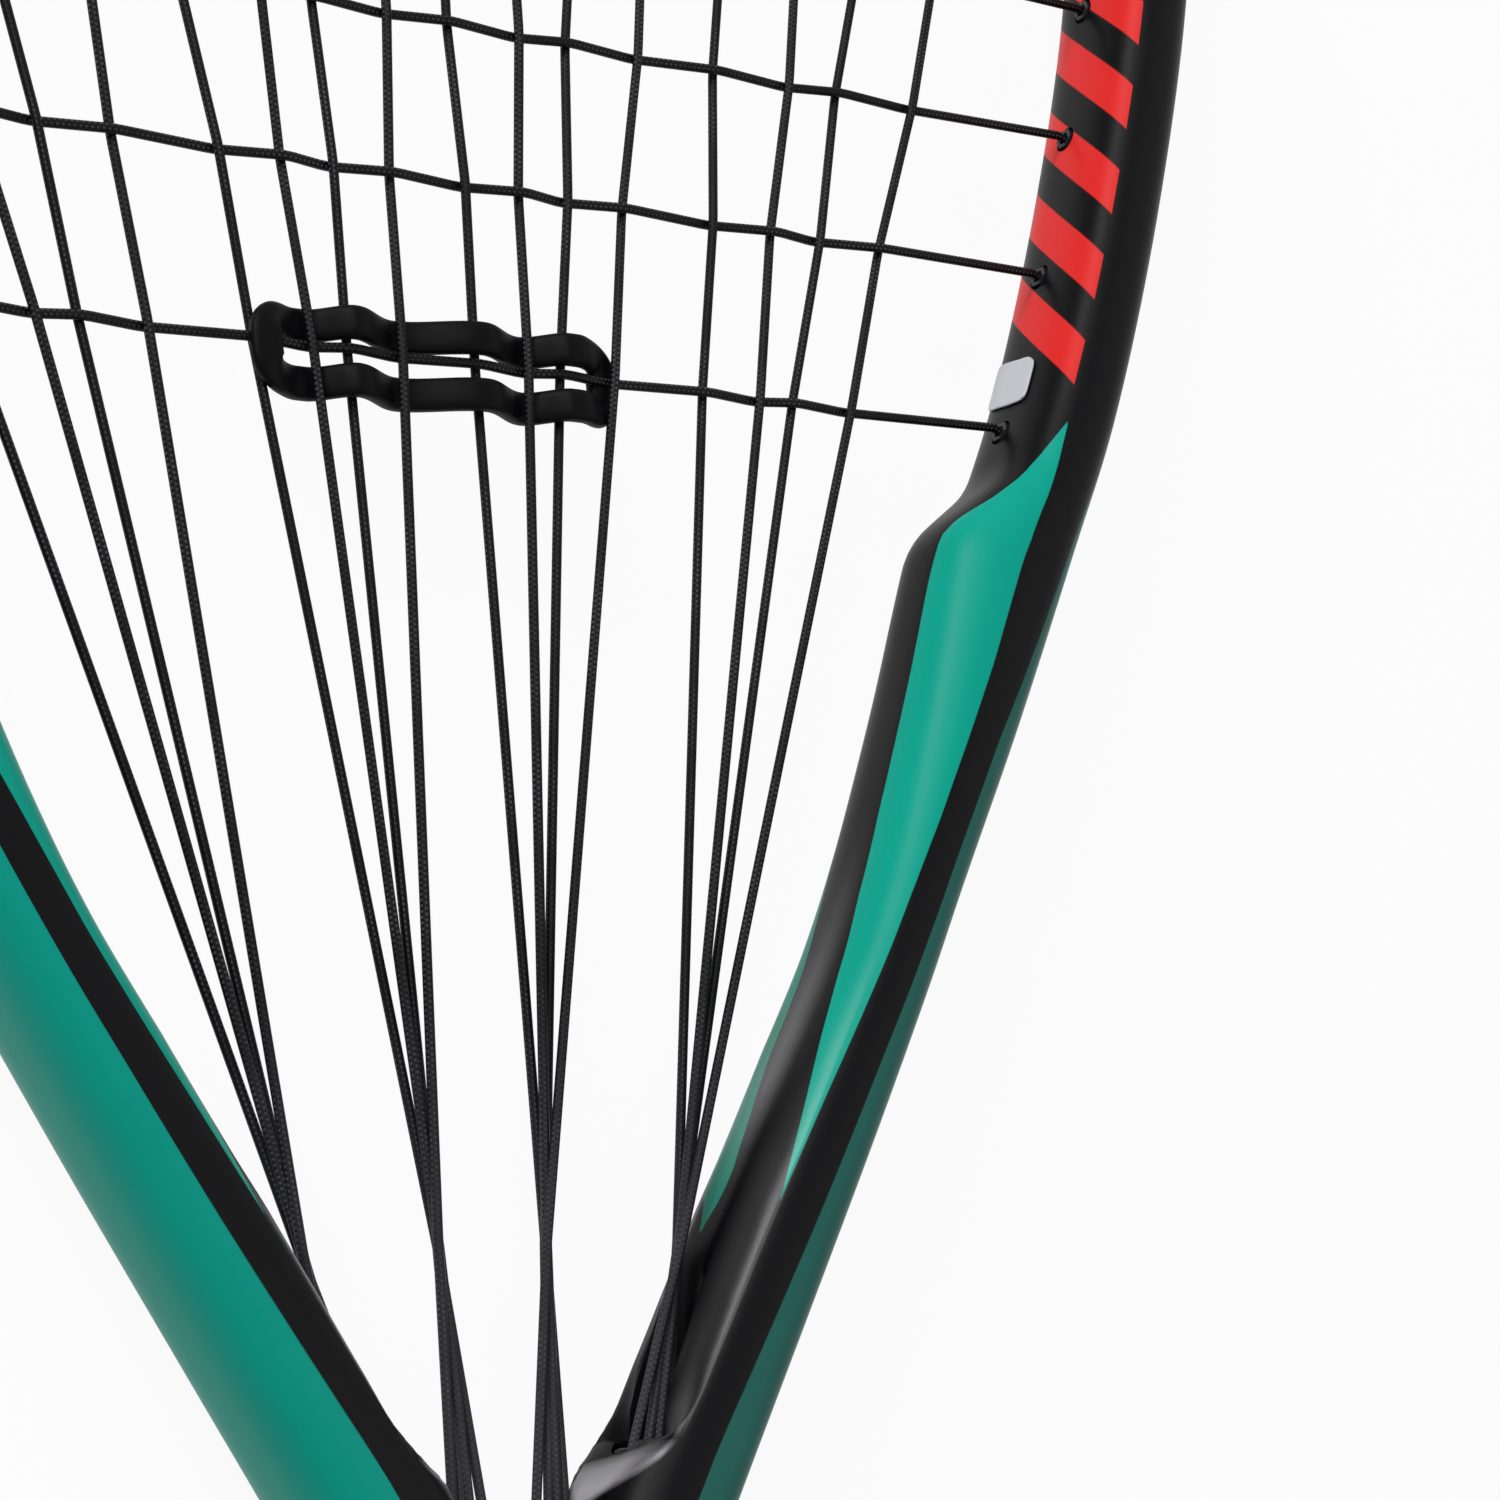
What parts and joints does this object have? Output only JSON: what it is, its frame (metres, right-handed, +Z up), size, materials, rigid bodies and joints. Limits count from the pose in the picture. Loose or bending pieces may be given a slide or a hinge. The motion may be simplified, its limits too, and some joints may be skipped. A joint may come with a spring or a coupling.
{
  "type": "racquetball racket",
  "caption": "Racquetball racket with a teardrop head, open V throat, bundled fan strings, woven damper and wrapped octagonal grip.",
  "frame": {"origin": "bottom centre of the racket's box, on the surface it lies on with its string bed level", "axes": "+X across the head to the player's right, +Y from the butt cap to the tip of the head, +Z up out of the string bed's front"},
  "size_m": [0.2544, 0.5588, 0.0326],
  "materials": {
    "frame_paint": "satin black paint over moulded carbon, with teal panels and red stripes",
    "grommet_plastic": "flexible moulded nylon",
    "guard_plastic": "satin moulded nylon",
    "string": "textured black multifilament string",
    "damper_rubber": "matte moulded rubber",
    "handle_foam": "moulded foam",
    "grip_rubber": "spiral wrap with raised ribs",
    "tape": "woven vinyl finishing tape",
    "collar_rubber": "smooth stretched rubber",
    "cap_plastic": "fine textured moulded plastic",
    "staple_steel": "bright staple wire",
    "label": "pale printed film"
  },
  "bodies": {
    "root": {"frame_tube": "frame_paint", "tip_grommet_strip": "grommet_plastic", "right_grommet_strip": "grommet_plastic", "left_grommet_strip": "grommet_plastic", "bumper_guard": "guard_plastic", "throat_insert_right": "guard_plastic", "throat_insert_left": "guard_plastic", "throat_insert_middle": "guard_plastic", "main_string": "string", "cross_string": "string", "string_damper": "damper_rubber", "front_handle_half": "handle_foam", "back_handle_half": "handle_foam", "grip_wrap": "grip_rubber", "finishing_tape": "tape", "grip_collar": "collar_rubber", "butt_cap": "cap_plastic", "butt_cap_plug": "cap_plastic", "right_cap_staple": "staple_steel", "left_cap_staple": "staple_steel", "frame_label": "label"}
  },
  "joints": []
}
